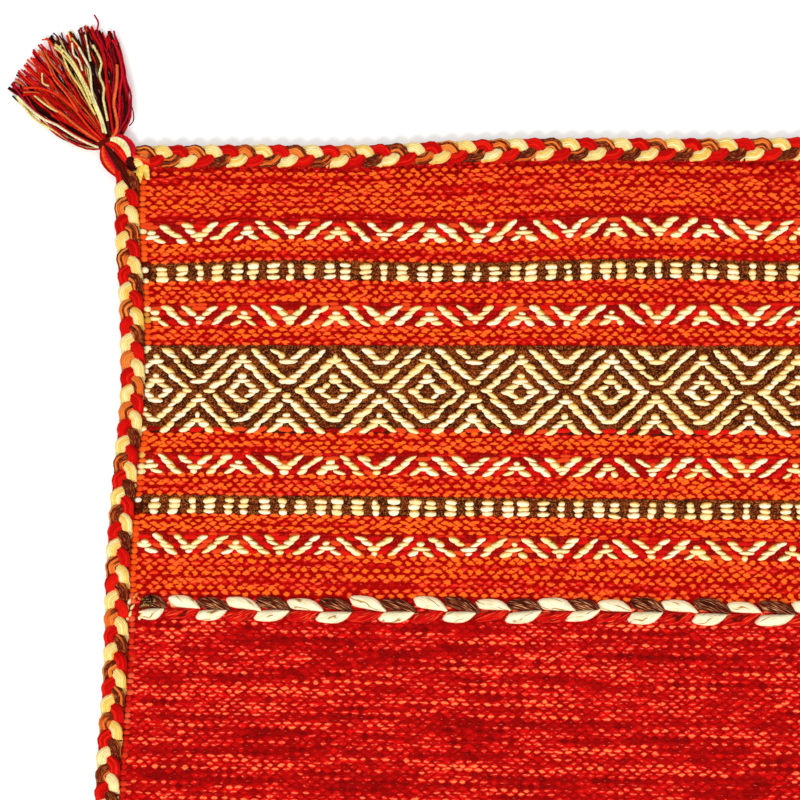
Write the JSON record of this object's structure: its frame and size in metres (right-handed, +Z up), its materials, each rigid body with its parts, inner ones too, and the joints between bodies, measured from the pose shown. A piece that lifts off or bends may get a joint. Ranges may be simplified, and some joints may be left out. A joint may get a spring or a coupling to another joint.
{
  "type": "kilim rug",
  "caption": "Small flat-woven kilim rug with brocaded border bands, a plain field, plaited edges, twined trim braids and a tassel at each corner.",
  "frame": {"origin": "middle of the rug's bounding box, on the floor it lies on", "axes": "+Z up, away from the floor, +Y along the warp and the rug's length, +X along the weft"},
  "size_m": [0.7314, 1.0394, 0.0112],
  "materials": {
    "orange_red_weft": "matt hand-spun wool, orange-red",
    "plaited_yarn": "matt wool strands, red, cream, orange and brown",
    "twined_yarn": "matt wool strands, cream, brown and red",
    "crimson_yarn": "loose matt wool yarns, mostly red",
    "dark_binding": "dark brown binding yarn"
  },
  "bodies": {
    "root": {"rug_cloth": "orange_red_weft", "side_braid_left": "plaited_yarn", "side_braid_right": "plaited_yarn", "end_braid_near": "plaited_yarn", "end_braid_far": "plaited_yarn", "trim_braid_near": "twined_yarn", "trim_braid_far": "twined_yarn", "tassel_neck_far_left": "plaited_yarn", "tassel_neck_far_right": "plaited_yarn", "tassel_neck_near_left": "plaited_yarn", "tassel_neck_near_right": "plaited_yarn", "tassel_tie_far_left": "dark_binding", "tassel_tie_far_right": "dark_binding", "tassel_tie_near_left": "dark_binding", "tassel_tie_near_right": "dark_binding", "tassel_skirt_far_left": "crimson_yarn", "tassel_skirt_far_right": "crimson_yarn", "tassel_skirt_near_left": "crimson_yarn", "tassel_skirt_near_right": "crimson_yarn"}
  },
  "joints": []
}
